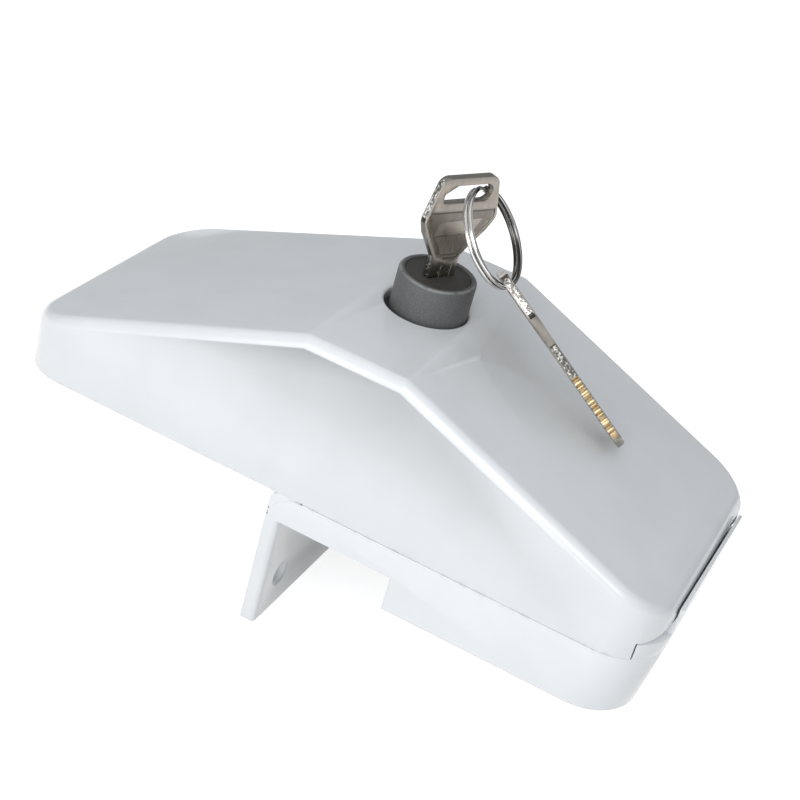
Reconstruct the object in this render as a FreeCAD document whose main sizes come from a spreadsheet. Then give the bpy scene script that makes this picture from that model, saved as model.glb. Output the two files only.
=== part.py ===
import FreeCAD, Part
import math
import os

import Sketcher

V = FreeCAD.Vector

# A bolt-on lock for a van's sliding door. The base is screwed to the panel, its flange goes down the
# door gap, and a hinged cover reaches out over the door. A push cylinder holds the cover down.
# Origin: centre of the base block's mounting face. +X towards the hinge, +Y to the back, +Z off the panel.

doc = FreeCAD.newDocument("sliding_door_lock")
sizes = doc.addObject("Spreadsheet::Sheet", "sizes")

driving_sizes = [
    ("cover_width", 83.5, "cover and base, front to back"),
    ("cover_reach", 155.0, "origin to the cover's free end"),
    ("cover_corner", 14.0, "radius of the cover's corners seen from above"),
    ("cover_wall", 3.0, "wall of the cast cover"),
    ("parting_gap", 0.2, "seam between the cover's rim and the base"),
    ("edge_round", 3.3, "rounding along the cover's upper edges"),
    ("roof_rise", 46.5, "parting line to the flat of the roof"),
    ("free_end_rise", 15.0, "parting line to the roof at the free end"),
    ("ridge_left", 74.0, "origin to the roof's left ridge"),
    ("ridge_right", 45.5, "origin to the roof's right ridge"),
    ("right_slope", 21.7, "fall of the right slope, in degrees"),
    ("rib_wall", 2.4, "ribs under the overhang"),
    ("rib_lift", 12.0, "parting line to the ribs' lower edge"),
    ("rib_near", 98.0, "origin to the nearer cross rib"),
    ("rib_far", 126.0, "origin to the farther cross rib"),
    ("base_rise", 19.0, "mounting face to the parting line"),
    ("block_left", 34.7, "origin to the block's wall at the door gap"),
    ("block_right", 32.9, "origin to the block's hinge end, at the mounting face"),
    ("end_draft", 2.55, "how far the hinge end leans out up to the parting line"),
    ("base_corner", 15.0, "radius of the base's corners seen from above"),
    ("base_edge", 1.2, "rounding under the base's block"),
    ("strap_wall", 8.25, "thickness of the strap over the door gap"),
    ("flange_reach", 72.5, "origin to the flange's outer face"),
    ("flange_wall", 4.3, "thickness of the flange"),
    ("flange_drop", 24.5, "mounting face to the flange's lower edge"),
    ("flange_bend", 2.5, "outer radius where strap and flange meet"),
    ("flange_corner", 1.8, "radius of the flange's lower corners"),
    ("flange_side", 1.5, "rounding of the flange's inner edges"),
    ("bend_relief", 9.0, "radius of the shallow step where strap and flange meet"),
    ("bend_sink", 0.35, "depth of that step"),
    ("flange_hole_lift", 12.3, "flange's lower edge to its screw holes"),
    ("flange_hole_side", 31.2, "middle to each flange hole"),
    ("flange_hole", 4.6, "diameter of the flange's screw holes"),
    ("flange_sink", 8.4, "diameter of their countersinks"),
    ("pocket_floor", 5.0, "floor of the base's pocket"),
    ("pocket_half_length", 18.0, "half of the pocket's length"),
    ("pocket_half_width", 34.0, "half of the pocket's width"),
    ("pocket_corner", 5.0, "radius of the pocket's corners"),
    ("mount_half_length", 12.5, "half the spacing of the mounting holes along X"),
    ("mount_half_width", 27.0, "half the spacing of the mounting holes along Y"),
    ("mount_hole", 5.5, "diameter of the mounting holes"),
    ("mount_sink", 10.0, "diameter of their countersinks"),
    ("hinge_x", 29.6, "origin to the hinge axis"),
    ("nose_radius", 5.45, "the cover's rounded end about the hinge axis"),
    ("nose_gap", 0.35, "between the cover's nose and the hinge leaf"),
    ("lip_wall", 2.4, "roof over the hinge"),
    ("lip_rise", 1.6, "hinge axis to the lower edge of the roof's lip"),
    ("tab_rise", 1.9, "hinge axis to the top of the leaf's end wall"),
    ("tab_half", 27.5, "half the width of the leaf's end wall"),
    ("tab_lean", 0.9, "how far the end wall leans out over the base"),
    ("foot_wall", 2.5, "thickness of the leaf's foot"),
    ("lug_reach", 3.6, "hinge axis to the lugs' inner face"),
    ("foot_reach", 11.0, "hinge axis to the foot's inner edge"),
    ("knuckle_radius", 2.7, "outer radius of the leaf's knuckles"),
    ("knuckle_side", 22.5, "middle to each outer knuckle"),
    ("knuckle_post", 1.6, "half the thickness of the posts under the knuckles"),
    ("knuckle_width", 8.0, "width of each knuckle"),
    ("hinge_pin", 2.8, "diameter of the hinge pin"),
    ("pin_half", 36.5, "half the length of the hinge pin"),
    ("running_gap", 0.06, "radial clearance of turning and sliding fits"),
    ("leaf_screw_side", 13.0, "middle to each screw of the leaf"),
    ("leaf_screw_in", 6.3, "hinge axis to the leaf's screws"),
    ("screw", 4.0, "diameter of the housing's and the leaf's screws"),
    ("screw_grip", 9.0, "length of their threads"),
    ("lock_x", 58.3, "origin to the lock's axis"),
    ("cylinder", 21.3, "diameter of the push cylinder"),
    ("cylinder_hole", 23.0, "diameter of the hole in the roof"),
    ("hole_shift", 0.7, "lock's axis to the middle of the hole in the roof"),
    ("hole_round", 1.0, "rounding of the hole's edge"),
    ("stroke", 10.2, "how far the cylinder stands out when open"),
    ("rim_round", 0.8, "rounding of the push cylinder's rim"),
    ("sleeve_length", 31.0, "length of the push cylinder"),
    ("face", 18.0, "diameter of the turning face"),
    ("face_wall", 2.4, "thickness of the turning face"),
    ("face_sink", 0.35, "face below the cylinder's rim"),
    ("core", 13.0, "diameter of the plug"),
    ("core_length", 36.0, "length of the plug"),
    ("stem", 5.0, "diameter of the cam's stem"),
    ("cam_length", 14.0, "length of the locking cam's head"),
    ("cam_width", 5.0, "width of the cam's head"),
    ("cam_wall", 2.0, "thickness of the cam's head"),
    ("cam_gap", 0.4, "round the cam's head where it passes and turns"),
    ("strike_wall", 2.0, "thickness of the strike plate"),
    ("strike_half_length", 18.0, "half the strike plate's length, along Y"),
    ("strike_half_width", 6.5, "half the strike plate's width, along X"),
    ("strike_screw_side", 13.0, "middle to the strike plate's screws"),
    ("strike_corner", 3.0, "radius of the strike plate's corners"),
    ("strike_screw", 3.0, "diameter of the strike plate's screws"),
    ("housing_wall", 2.6, "wall of the lock housing"),
    ("housing_floor", 2.5, "floor of the housing, under the spring"),
    ("housing_lift", 4.5, "parting line to the housing's underside"),
    ("housing_bore", 16.2, "diameter of the hole in the housing's floor"),
    ("ear_wall", 3.5, "thickness of the housing's fixing flange"),
    ("ear_rise", 17.5, "parting line to the flange's underside"),
    ("boss_circle", 18.5, "lock axis to the cover's screw bosses"),
    ("boss", 8.6, "diameter of the bosses"),
    ("seal_height", 2.4, "height of the wiping seal"),
    ("seal_wall", 1.7, "thickness of the wiping seal"),
    ("guide_rise", 31.0, "parting line to the guide pin"),
    ("guide_pin", 3.0, "diameter of the guide pin"),
    ("guide_depth", 1.5, "how far the guide pin reaches into the cylinder"),
    ("clip_wall", 1.0, "thickness of the plug's retaining ring"),
    ("clip", 16.4, "outer diameter of the retaining ring"),
    ("clip_groove", 0.9, "depth of its groove"),
    ("cross_pin", 2.0, "diameter of the pin through plug and cam"),
    ("wafer", 1.0, "thickness of a wafer"),
    ("first_wafer", 6.0, "lock face to the uppermost wafer"),
    ("wafer_pitch", 3.0, "from one wafer to the next"),
    ("wafer_half_length", 5.6, "half a wafer's length"),
    ("wafer_half_width", 3.0, "half a wafer's width"),
    ("wire", 1.1, "wire of the return spring"),
    ("coil", 18.2, "mean diameter of the return spring"),
    ("spring_gap", 0.1, "between the spring's upper end and the cylinder"),
    ("coil_turns", 5.5, "turns of the return spring"),
    ("key_wall", 2.3, "thickness of the keys"),
    ("key_gap", 0.15, "keyway round the key's blade"),
    ("key_heading", 61.0, "turn of the key's blade from +X, in degrees"),
    ("blade", 8.8, "width of the keys' blades"),
    ("blade_length", 26.5, "length of the blades in the lock"),
    ("blade_tip", 2.5, "taper at the blades' tips"),
    ("shoulder_rise", 5.4, "lock face to the start of the bow"),
    ("neck_half", 6.4, "half the width of the bow's neck"),
    ("neck_rise", 8.2, "lock face to the neck"),
    ("cheek_half", 9.9, "half the width between neck and widest point"),
    ("cheek_rise", 12.5, "lock face to that place"),
    ("cut_pitch", 3.0, "from one cut of the blade to the next"),
    ("cut_depth", 0.9, "depth of the cuts"),
    ("bow_shift", 1.5, "blade's middle to the bow's middle"),
    ("bow_top", 28.5, "lock face to the top of the key's bow"),
    ("bow_half", 11.9, "half the width of the bow at its widest"),
    ("bow_rise", 16.3, "lock face to the widest point"),
    ("bow_top_half", 9.0, "half the width of the flat top"),
    ("bow_round", 3.0, "radius of the bow's corners"),
    ("window_low", 21.4, "lock face to the bow's window"),
    ("window_rise", 4.9, "height of the window"),
    ("window_left", 6.2, "middle of the key to the window's pointed end"),
    ("window_right", 9.4, "middle of the key to the window's ring end"),
    ("window_bend", 2.4, "middle of the key to the end of the window's slanted side"),
    ("window_slant", 2.6, "height of the window at its pointed end"),
    ("window_round", 2.4, "radius of the window's ring end"),
    ("window_tip", 0.8, "radius of its pointed end"),
    ("panel_sink", 0.3, "depth of the bow's sunk panel"),
    ("panel_edge", 0.7, "rim left round the panel"),
    ("panel_low", 5.6, "lock face to the panel's lower edge"),
    ("panel_low_half", 3.0, "half the width of its lower edge"),
    ("panel_top", 18.8, "lock face to the panel's upper edge"),
    ("panel_round", 2.2, "radius of the panel's lower corners"),
    ("groove_width", 1.5, "width of the grooves along the blades"),
    ("groove_sink", 0.5, "depth of the grooves"),
    ("groove_point", 2.4, "lock face to the grooves' pointed ends"),
    ("groove_side", 1.7, "middle of the blade to a groove"),
    ("cut_radius", 1.3, "radius of the cuts in the blade's edges"),
    ("ring_radius", 13.25, "mean radius of the key ring"),
    ("ring_wire", 1.1, "wire of the key ring"),
    ("ring_pitch", 1.52, "from one turn of the key ring to the next"),
    ("ring_x", 10.01, "lock axis to the ring's centre along X"),
    ("ring_y", 5.21, "lock axis to the ring's centre along Y"),
    ("ring_z", 13.24, "lock face to the ring's centre"),
    ("ring_heading", 2.66, "direction the ring faces, from +X in degrees"),
    ("ring_lean", 51.46, "ring's axis down from upright, in degrees"),
    ("ring_step", 200.0, "place of the ring's step from one turn to the other, in degrees"),
    ("spare_x", 39.19, "lock axis to the spare key's shoulder along X"),
    ("spare_y", 1.59, "lock axis to the spare key's shoulder along Y"),
    ("spare_z", 65.85, "mounting face to the spare key's shoulder"),
    ("spare_yaw", 111.91, "spare key's turn about Z, in degrees"),
    ("spare_pitch", 21.68, "spare key's turn about its own Y, in degrees"),
    ("spare_roll", -49.68, "spare key's turn about its own X, in degrees"),
]

for row, (alias, number, meaning) in enumerate(driving_sizes, start=1):
    sizes.set(f"A{row}", meaning)
    sizes.set(f"B{row}", str(number))
    sizes.setAlias(f"B{row}", alias)
doc.recompute()

# Expressions that several pieces share. Each one is worked out from the sheet.
aliases = sorted((alias for alias, _, _ in driving_sizes), key=len, reverse=True)


def bound(text):
    """An expression with the sheet's name put before each of its sizes."""
    words, word = [], ""
    for letter in text + " ":
        if letter.isalnum() or letter == "_":
            word += letter
            continue
        words.append("sizes." + word if word in aliases else word)
        words.append(letter)
        word = ""
    return "".join(words).strip()


def number(text):
    """What an expression comes to now."""
    found = sizes.evalExpression(bound(str(text)))
    return float(getattr(found, "Value", found))


half_width = "(cover_width / 2)"
slope = "(right_slope * 1 deg)"
roof = "(base_rise + roof_rise)"
free_top = "(base_rise + free_end_rise)"
left_rise = "(roof_rise - free_end_rise)"
left_run = "(cover_reach - ridge_left)"
left_slope = f"atan({left_rise} / {left_run})"
hinge_z = f"({roof} - (hinge_x + ridge_right) * tan{slope} - nose_radius / cos{slope})"
cover_end = "(hinge_x + nose_radius)"
base_end = "(block_right + end_draft)"
tab_inside = "(hinge_x + nose_radius + nose_gap)"
tab_top = f"({hinge_z} + tab_rise)"
lock = "(-lock_x)"
rim = f"({roof} + stroke)"
sleeve_foot = f"({rim} - sleeve_length)"
core_top = f"({rim} - face_sink - face_wall)"
core_foot = f"({core_top} - core_length)"
strap_foot = "(base_rise - strap_wall)"
housing_foot = "(base_rise + housing_lift)"
spring_seat = f"({housing_foot} + housing_floor)"
cam_top = "(base_rise - strike_wall + stroke - 0.3)"
cam_foot = f"({cam_top} - cam_wall)"
cam_floor = f"({cam_foot} - stroke - cam_gap)"
housing_top = f"({roof} - cover_wall - 0.1)"
sleeve_bore = "(core / 2 + running_gap)"


def bind(thing, **expressions):
    """Ties properties to the sheet; two underscores in a name stand for a dot."""
    for name, text in expressions.items():
        thing.setExpression(name.replace("__", "."), bound(str(text)))
    return thing


def place(thing, x, y, z):
    return bind(thing, Placement__Base__x=x, Placement__Base__y=y, Placement__Base__z=z)


def box(name, x, y, z):
    """A block between two expressions along each axis."""
    block = doc.addObject("Part::Box", name)
    bind(block, Length=f"({x[1]}) - ({x[0]})", Width=f"({y[1]}) - ({y[0]})", Height=f"({z[1]}) - ({z[0]})")
    return place(block, x[0], y[0], z[0])


turns = {
    "x": FreeCAD.Rotation(V(0, 1, 0), 90),
    "y": FreeCAD.Rotation(V(1, 0, 0), -90),
    "z": FreeCAD.Rotation(),
}


def rod(name, axis, radius, start, length):
    """A round bar from a point along a row axis."""
    bar = doc.addObject("Part::Cylinder", name)
    bar.Placement.Rotation = turns[axis]
    bind(bar, Radius=radius, Height=length)
    return place(bar, *start)


def cone(name, axis, radius_low, radius_high, start, length):
    sink = doc.addObject("Part::Cone", name)
    sink.Placement.Rotation = turns[axis]
    bind(sink, Radius1=radius_low, Radius2=radius_high, Height=length)
    return place(sink, *start)


def outline(sketch, corners):
    """Straight lines round a closed outline, each corner tied to the sheet."""
    spots = [(number(x), number(y)) for x, y in corners]
    for here, there in zip(spots, spots[1:] + spots[:1]):
        sketch.addGeometry(Part.LineSegment(V(*here, 0), V(*there, 0)), False)
    last = len(corners)
    for at in range(last):
        sketch.addConstraint(Sketcher.Constraint("Coincident", at, 2, (at + 1) % last, 1))
        for kind, text, value in zip(("DistanceX", "DistanceY"), corners[at], spots[at]):
            tied = sketch.addConstraint(Sketcher.Constraint(kind, -1, 1, at, 1, value))
            sketch.setExpression(f"Constraints[{tied}]", bound(str(text)))
    return sketch


planes = {
    "XY": (FreeCAD.Rotation(), V(0, 0, 1)),
    "XZ": (FreeCAD.Rotation(V(1, 0, 0), 90), V(0, 1, 0)),
    "YZ": (FreeCAD.Rotation(V(0, 1, 0), V(0, 0, 1), V(1, 0, 0)), V(1, 0, 0)),
}


def prism(name, plane, corners, start, length):
    """An outline on a row plane, pushed along that plane's axis from a start."""
    rotation, along = planes[plane]
    sketch = outline(doc.addObject("Sketcher::SketchObject", name + "_outline"), corners)
    sketch.Placement = FreeCAD.Placement(V(), rotation)
    place(sketch, *[start if part else "0" for part in along])
    pushed = doc.addObject("Part::Extrusion", name)
    pushed.Base = sketch
    pushed.DirMode = "Custom"
    pushed.Dir = along
    pushed.Solid = True
    return bind(pushed, LengthFwd=length)


def fuse(name, *shapes):
    whole = doc.addObject("Part::MultiFuse", name)
    whole.Shapes = list(shapes)
    whole.Refine = True
    return whole


def common(name, *shapes):
    shared = doc.addObject("Part::MultiCommon", name)
    shared.Shapes = list(shapes)
    return shared


def cut(name, base, *tools):
    taken = tools[0] if len(tools) == 1 else fuse(name + "_tools", *tools)
    left = doc.addObject("Part::Cut", name)
    left.Base = base
    left.Tool = taken
    left.Refine = True
    return left


def rounded(name, base, radius, pick):
    """Rounds the edges of a shape whose middle point the function picks."""
    doc.recompute()
    smooth = doc.addObject("Part::Fillet", name)
    smooth.Base = base
    found = []
    for place_in_list, edge in enumerate(base.Shape.Edges, start=1):
        middle = edge.valueAt((edge.FirstParameter + edge.LastParameter) / 2)
        if pick(middle, edge):
            found.append((place_in_list, number(radius), number(radius)))
    smooth.Edges = found
    return smooth


def near(value, text):
    return abs(value - number(text)) < 0.05


def upright(edge):
    ends = edge.Vertexes
    return len(ends) == 2 and abs(ends[0].X - ends[1].X) < 0.01 and abs(ends[0].Y - ends[1].Y) < 0.01


def screw_shape(name, axis, head_down, x, y, z, diameter, grip):
    """A countersunk screw: the flat of its head at the point, its thread along the axis or against it."""
    sign = "-" if head_down else ""
    thread_start = {"z": (x, y, f"({z}) - ({grip})" if head_down else z)}[axis]
    thread = rod(name + "_thread", axis, f"{diameter} / 2", thread_start, grip)
    if head_down:
        head = cone(name + "_head", axis, f"{diameter} / 2", diameter, (x, y, f"({z}) - {diameter} / 2"), f"{diameter} / 2")
    else:
        head = cone(name + "_head", axis, diameter, f"{diameter} / 2", (x, y, z), f"{diameter} / 2")
    return [thread, head]


parts = {}


def keep(label, thing):
    """Names the finished sub-part; its label names its file."""
    thing.Label = label
    parts[label] = thing
    return thing

# The cover: a cast shell with a ridge, two slopes and a rounded end that turns on the hinge pin.
cover_foot = "(base_rise + parting_gap)"
slope_at_end = f"({roof} - ({cover_end} + ridge_right) * tan{slope})"
cover_block = prism("cover_block", "XZ", [
    ("-cover_reach", cover_foot),
    (cover_end, cover_foot),
    (cover_end, slope_at_end),
    ("-ridge_right", roof),
    ("-ridge_left", roof),
    ("-cover_reach", free_top),
], f"-{half_width}", "cover_width")
cover_corners = rounded("cover_corners", cover_block, "cover_corner", lambda middle, edge: upright(edge))
cover_outer = rounded(
    "cover_outer", cover_corners, "edge_round",
    lambda middle, edge: middle.z > number(slope_at_end) - 0.5 and not upright(edge),
)

inner_half = f"({half_width} - cover_wall)"
cavity_end = "(hinge_x - lug_reach)"
cavity_right_ridge = f"(-ridge_right - cover_wall * tan({slope} / 2))"
cavity_left_ridge = f"(-ridge_left + cover_wall * tan({left_slope} / 2))"
cavity_block = prism("cavity_block", "XZ", [
    ("-cover_reach + cover_wall", f"{cover_foot} - 2"),
    (cavity_end, f"{cover_foot} - 2"),
    (cavity_end, f"{roof} - ({cavity_end} + ridge_right) * tan{slope} - cover_wall / cos{slope}"),
    (cavity_right_ridge, f"{roof} - cover_wall"),
    (cavity_left_ridge, f"{roof} - cover_wall"),
    ("-cover_reach + cover_wall", f"{free_top} + cover_wall * tan({left_slope}) - cover_wall / cos({left_slope})"),
], f"-{inner_half}", f"2 * {inner_half}")
cavity = rounded(
    "cavity", cavity_block, "cover_corner - cover_wall",
    lambda middle, edge: upright(edge) and near(middle.x, "-cover_reach + cover_wall"),
)
cover_hollow = cut("cover_hollow", cover_outer, cavity)

rib_foot = "(base_rise + rib_lift)"
rib_blocks = fuse(
    "rib_blocks",
    *[box(f"cross_rib_{place_of}", (f"-{at} - rib_wall / 2", f"-{at} + rib_wall / 2"),
          (f"-{inner_half} - 1", f"{inner_half} + 1"), (rib_foot, roof))
      for place_of, at in (("near", "rib_near"), ("far", "rib_far"))],
    *[box(f"long_rib_{side}", ("-cover_reach + cover_wall - 1", "-rib_near"),
          (f"{at} - rib_wall / 2", f"{at} + rib_wall / 2"), (rib_foot, roof))
      for side, at in (("front", f"-{half_width} / 2"), ("back", f"{half_width} / 2"))],
)
ribs = common("ribs", rib_blocks, cover_outer)

ear_foot = "(base_rise + ear_rise)"
ear_top = f"({ear_foot} + ear_wall)"
boss_spots = [
    (f"{lock} + boss_circle * cos({angle} * 1 deg)", f"boss_circle * sin({angle} * 1 deg)")
    for angle in (90, 210, 330)
]
bosses = [
    rod(f"boss_{count}", "z", "boss / 2", (x, y, ear_top), f"{roof} - cover_wall / 2 - {ear_top} - 1")
    for count, (x, y) in enumerate(boss_spots, start=1)
]
boss_holes = [
    rod(f"boss_hole_{count}", "z", "screw / 2", (x, y, f"{ear_top} - 1"), "screw_grip + 1")
    for count, (x, y) in enumerate(boss_spots, start=1)
]
cover_whole = fuse("cover_whole", cover_hollow, ribs, *bosses)

nose_waste = cut(
    "nose_waste",
    prism("nose_corner", "XZ", [
        ("hinge_x", f"{cover_foot} - 2"),
        (f"{cover_end} + 2", f"{cover_foot} - 2"),
        (f"{cover_end} + 2", f"{slope_at_end} + 6"),
        (f"hinge_x + nose_radius * sin{slope}", f"{hinge_z} + nose_radius * cos{slope}"),
        ("hinge_x", hinge_z),
    ], f"-{half_width} - 1", "cover_width + 2"),
    rod("nose_round", "y", "nose_radius", ("hinge_x", f"-{half_width} - 2", hinge_z), "cover_width + 4"),
)
lip_radius = "(nose_radius - lip_wall)"
bay_half = "(tab_half + 0.3)"
bay = [
    box("bay_low", (f"{cavity_end} - 1", f"{cover_end} + 1"), (f"-{bay_half}", bay_half),
        (f"{cover_foot} - 2", f"{hinge_z} + lip_rise")),
    rod("bay_round", "y", lip_radius, ("hinge_x", f"-{bay_half}", hinge_z), f"2 * {bay_half}"),
    prism("bay_slope", "XZ", [
        (f"{cavity_end} - 1", hinge_z),
        ("hinge_x", hinge_z),
        (f"hinge_x + {lip_radius} * sin{slope}", f"{hinge_z} + {lip_radius} * cos{slope}"),
        (f"{cavity_end} - 1", f"{roof} - ({cavity_end} - 1 + ridge_right) * tan{slope} - lip_wall / cos{slope}"),
    ], f"-{bay_half}", f"2 * {bay_half}"),
]
hole_middle = "(-lock_x - hole_shift)"
roof_hole = rod("roof_hole", "z", "cylinder_hole / 2", (hole_middle, "0", f"{roof} - cover_wall - 2"), "cover_wall + 4")
pin_bore = rod(
    "pin_bore", "y", "hinge_pin / 2 + running_gap",
    ("hinge_x", "-pin_half - 0.3", hinge_z), f"pin_half + {half_width} + 1",
)
cover_holed = cut("cover_holed", cover_whole, nose_waste, *bay, roof_hole, pin_bore, *boss_holes)
keep("cover_shell", rounded(
    "cover", cover_holed, "hole_round",
    lambda middle, edge: near(middle.z, roof) and near(edge.BoundBox.XLength, "cylinder_hole"),
))

# The base: a block on the panel, a strap over the door gap and a flange down into it.
cam_reach = "(cam_length / 2 + cam_gap)"
base_block = prism("base_block", "XZ", [
    ("-flange_reach", "-flange_drop"),
    ("-flange_reach + flange_wall", "-flange_drop"),
    ("-flange_reach + flange_wall", strap_foot),
    ("-block_left", strap_foot),
    ("-block_left", "0"),
    ("block_right", "0"),
    (base_end, "base_rise"),
    ("-flange_reach", "base_rise"),
], f"-{half_width}", "cover_width")
base_corners = rounded(
    "base_corners", base_block, "base_corner",
    lambda middle, edge: middle.x > number("block_right") and near(middle.z, "base_rise / 2"),
)
base_bend = rounded(
    "base_bend", base_corners, "flange_bend",
    lambda middle, edge: near(middle.x, "-flange_reach") and near(middle.z, "base_rise"),
)
base_edge = rounded(
    "base_edge", base_bend, "base_edge",
    lambda middle, edge: near(middle.x, "block_right") and near(middle.z, "0"),
)
base_outer = rounded(
    "base_outer", base_edge, "flange_corner",
    lambda middle, edge: near(middle.z, "-flange_drop") and near(abs(middle.y), half_width),
)
base_side = rounded(
    "base_side", base_outer, "flange_side",
    lambda middle, edge: upright(edge) and near(middle.x, "-flange_reach + flange_wall"),
)
pocket = rounded(
    "pocket",
    box("pocket_block", ("-pocket_half_length", "pocket_half_length"),
        ("-pocket_half_width", "pocket_half_width"), ("pocket_floor", "base_rise + 1")),
    "pocket_corner", lambda middle, edge: upright(edge),
)
mount_holes = []
for count, (x, y) in enumerate(((-1, -1), (1, -1), (1, 1), (-1, 1)), start=1):
    spot = (f"{x} * mount_half_length", f"{y} * mount_half_width")
    mount_holes.append(rod(f"mount_hole_{count}", "z", "mount_hole / 2", (*spot, "-1"), "pocket_floor + 2"))
    mount_holes.append(cone(
        f"mount_sink_{count}", "z", "mount_hole / 2", "mount_sink / 2",
        (*spot, "pocket_floor - (mount_sink - mount_hole) / 2"), "(mount_sink - mount_hole) / 2",
    ))
flange_holes = []
for side, sign in (("front", "-"), ("back", "")):
    spot = (f"{sign}flange_hole_side", "-flange_drop + flange_hole_lift")
    inside = "(-flange_reach + flange_wall)"
    flange_holes.append(rod(f"flange_hole_{side}", "x", "flange_hole / 2", ("-flange_reach - 1", *spot), "flange_wall + 2"))
    flange_holes.append(cone(
        f"flange_sink_{side}", "x", "flange_hole / 2", "flange_sink / 2",
        (f"{inside} - (flange_sink - flange_hole) / 2", *spot), "(flange_sink - flange_hole) / 2",
    ))


def plate_block(name, top):
    blank = box(
        name + "_blank", (f"{lock} - strike_half_width", f"{lock} + strike_half_width"),
        ("-strike_half_length", "strike_half_length"), ("base_rise - strike_wall", top),
    )
    return rounded(name, blank, "strike_corner", lambda middle, edge: upright(edge))


def pair(make):
    return [make(1, "-"), make(2, "")]


strike_grip = "6"
bend_middle = ("-flange_reach + bend_relief", "base_rise - bend_relief")


def bend_step(side, start):
    """The shallow step outside the bend's arc, on one side face of the base."""
    corner = box(f"bend_corner_{side}", ("-flange_reach - 1", bend_middle[0]), (start, f"{start} + bend_sink + 1"),
                 (bend_middle[1], "base_rise + 1"))
    kept = rod(f"bend_kept_{side}", "y", "bend_relief", (bend_middle[0], f"{start} - 1", bend_middle[1]), "bend_sink + 3")
    return cut(f"bend_step_{side}", corner, kept)


base_tools = [
    bend_step("front", f"(-{half_width} - 1)"),
    bend_step("back", f"({half_width} - bend_sink)"),
    pocket,
    plate_block("strike_recess", "base_rise + 1"),
    rod("cam_room", "z", cam_reach, (lock, "0", cam_floor), f"base_rise - strike_wall + 0.5 - {cam_floor}"),
    *mount_holes,
    *flange_holes,
    *pair(lambda count, sign: rod(
        f"strike_thread_hole_{count}", "z", "strike_screw / 2",
        (lock, f"{sign}strike_screw_side", f"base_rise - {strike_grip}"), strike_grip)),
    *pair(lambda count, sign: rod(
        f"leaf_thread_hole_{count}", "z", "screw / 2",
        ("hinge_x - leaf_screw_in", f"{sign}leaf_screw_side", "base_rise - screw_grip"), "screw_grip + 1")),
]
keep("base_body", cut("base", base_side, *base_tools))

# The strike plate lies flush in the strap; the locking cam drops through its slot and turns under it.
strike_slot = box(
    "strike_slot", (f"{lock} - cam_width / 2 - cam_gap", f"{lock} + cam_width / 2 + cam_gap"),
    (f"-{cam_reach}", cam_reach), ("base_rise - strike_wall - 1", "base_rise + 1"),
)
strike_plate_blank = plate_block("strike_plate_blank", "base_rise")
strike_screws = pair(lambda count, sign: fuse(f"strike_screw_{count}_shape", *screw_shape(
    f"strike_{count}", "z", True, lock, f"{sign}strike_screw_side", "base_rise", "strike_screw", strike_grip)))
keep("strike_plate", cut("strike", strike_plate_blank, strike_slot, *strike_screws))
for count, thing in enumerate(strike_screws, start=1):
    keep(f"strike_screw_{count}", thing)

# The hinge leaf: foot, end wall round the cover's nose, and three knuckles on posts.
band_top = f"({hinge_z} - nose_radius - nose_gap)"
band_start = "(hinge_x + nose_gap)"
wall_rise = f"({tab_top} - base_rise)"
band_end = f"({base_end} + tab_lean * ({band_top} - base_rise) / {wall_rise})"
band_block = rounded(
    "band_block",
    prism("band_blank", "XZ", [
        ("0", "base_rise"), (base_end, "base_rise"), (band_end, band_top), ("0", band_top),
    ], f"-{half_width}", "cover_width"),
    "base_corner", lambda middle, edge: middle.x > number("block_right") and near(abs(middle.y), half_width),
)
band = common("band", band_block, box(
    "band_room", (band_start, f"{cover_end} + 5"), (f"-{half_width}", half_width), ("base_rise", band_top)))
tab = cut(
    "tab",
    prism("tab_block", "XZ", [
        (band_start, "base_rise"), (base_end, "base_rise"), (f"{base_end} + tab_lean", tab_top),
        (tab_inside, tab_top), (tab_inside, hinge_z), (band_start, hinge_z),
    ], "-tab_half", "2 * tab_half"),
    rod("tab_round", "y", "nose_radius + nose_gap", ("hinge_x", "-tab_half - 1", hinge_z), "2 * tab_half + 2"),
)
foot = box("foot", ("hinge_x - foot_reach", f"{band_start} + 0.5"), ("-tab_half", "tab_half"),
           ("base_rise", "base_rise + foot_wall"))
knuckles = []
for count, middle in enumerate(("-knuckle_side", "0", "knuckle_side"), start=1):
    start = f"{middle} - knuckle_width / 2"
    knuckles.append(rod(f"knuckle_{count}", "y", "knuckle_radius", ("hinge_x", start, hinge_z), "knuckle_width"))
    knuckles.append(box(
        f"knuckle_post_{count}", ("hinge_x - knuckle_post", "hinge_x + knuckle_post"),
        (start, f"{start} + knuckle_width"), ("base_rise + foot_wall / 2", hinge_z)))
leaf_screws = pair(lambda count, sign: fuse(f"leaf_screw_{count}_shape", *screw_shape(
    f"leaf_{count}", "z", True, "hinge_x - leaf_screw_in", f"{sign}leaf_screw_side",
    "base_rise + foot_wall", "screw", "screw_grip + foot_wall")))
leaf_pin_hole = rod("leaf_pin_hole", "y", "hinge_pin / 2", ("hinge_x", "-pin_half - 1", hinge_z), "2 * pin_half + 2")
keep("hinge_leaf", cut("leaf", fuse("leaf_whole", band, tab, foot, *knuckles), leaf_pin_hole, *leaf_screws))
for count, thing in enumerate(leaf_screws, start=1):
    keep(f"leaf_screw_{count}", thing)
keep("hinge_pin", rod("pin", "y", "hinge_pin / 2", ("hinge_x", "-pin_half", hinge_z), "2 * pin_half"))

# The lock housing hangs from three bosses under the roof and guides the push cylinder.
housing_bore_radius = "(cylinder / 2 + running_gap)"
housing_radius = f"({housing_bore_radius} + housing_wall)"
guide_z = "(base_rise + guide_rise)"
guide_in = "(cylinder / 2 - guide_depth)"
seal_foot = f"({housing_top} - seal_height)"
seal_radius = f"({housing_bore_radius} + seal_wall)"
housing_screws = [
    fuse(f"housing_screw_{count}_shape", *screw_shape(
        f"housing_{count}", "z", False, x, y, ear_foot, "screw", "screw_grip + ear_wall"))
    for count, (x, y) in enumerate(boss_spots, start=1)
]


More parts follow.
